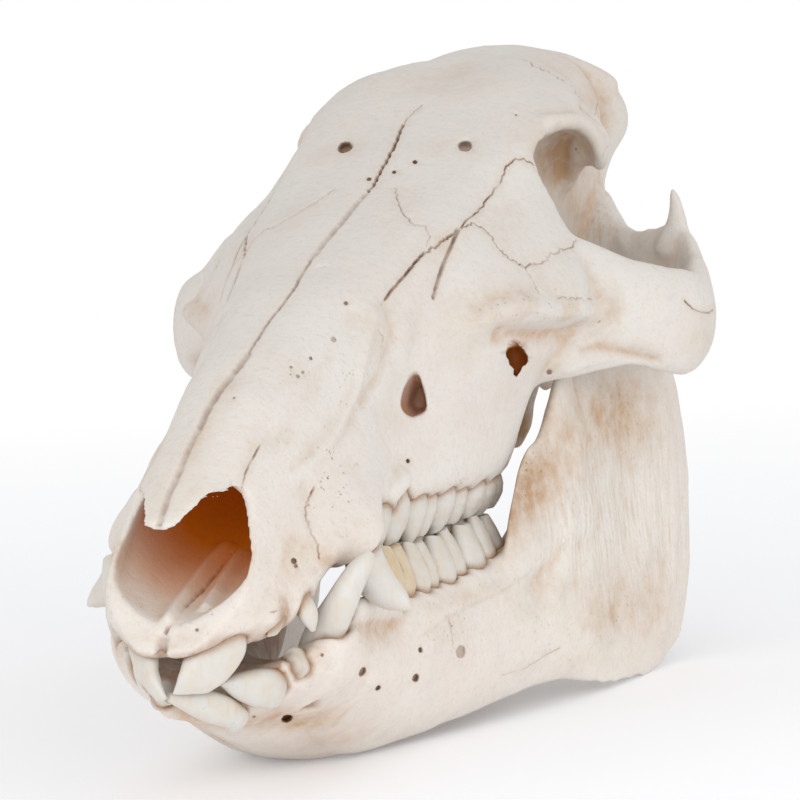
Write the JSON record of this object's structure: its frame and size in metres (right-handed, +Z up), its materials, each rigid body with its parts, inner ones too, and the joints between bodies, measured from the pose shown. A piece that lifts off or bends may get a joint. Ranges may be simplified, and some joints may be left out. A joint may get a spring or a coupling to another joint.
{
  "type": "bush pig skull",
  "caption": "Dried bush pig skull with its lower jaw and teeth, standing on the jaw, with open nose, eye sockets and cheek arches.",
  "frame": {"origin": "middle of the footprint box, on the surface the lower jaw rests on", "axes": "+X to the animal's left, +Y back from snout to braincase, +Z up"},
  "size_m": [0.1963, 0.3567, 0.2182],
  "materials": {
    "bone": "dry, cleaned bone with a matt surface",
    "enamel": "worn tooth enamel with a soft gloss"
  },
  "bodies": {
    "root": {"cranium": "bone", "lower_canine_left": "enamel", "lower_canine_right": "enamel", "lower_incisor_1_left": "enamel", "lower_incisor_1_right": "enamel", "lower_incisor_2_left": "enamel", "lower_incisor_2_right": "enamel", "lower_incisor_3_left": "enamel", "lower_incisor_3_right": "enamel", "lower_molar_1_left": "enamel", "lower_molar_1_right": "enamel", "lower_molar_2_left": "enamel", "lower_molar_2_right": "enamel", "lower_molar_3_left": "enamel", "lower_molar_3_right": "enamel", "lower_premolar_3_left": "enamel", "lower_premolar_3_right": "enamel", "lower_premolar_4_left": "enamel", "lower_premolar_4_right": "enamel", "mandible": "bone", "upper_canine_left": "enamel", "upper_canine_right": "enamel", "upper_incisor_1_left": "enamel", "upper_incisor_1_right": "enamel", "upper_incisor_2_left": "enamel", "upper_incisor_2_right": "enamel", "upper_incisor_3_left": "enamel", "upper_incisor_3_right": "enamel", "upper_molar_1_left": "enamel", "upper_molar_1_right": "enamel", "upper_molar_2_left": "enamel", "upper_molar_2_right": "enamel", "upper_molar_3_left": "enamel", "upper_molar_3_right": "enamel", "upper_premolar_2_left": "enamel", "upper_premolar_2_right": "enamel", "upper_premolar_3_left": "enamel", "upper_premolar_3_right": "enamel", "upper_premolar_4_left": "enamel", "upper_premolar_4_right": "enamel"}
  },
  "joints": []
}
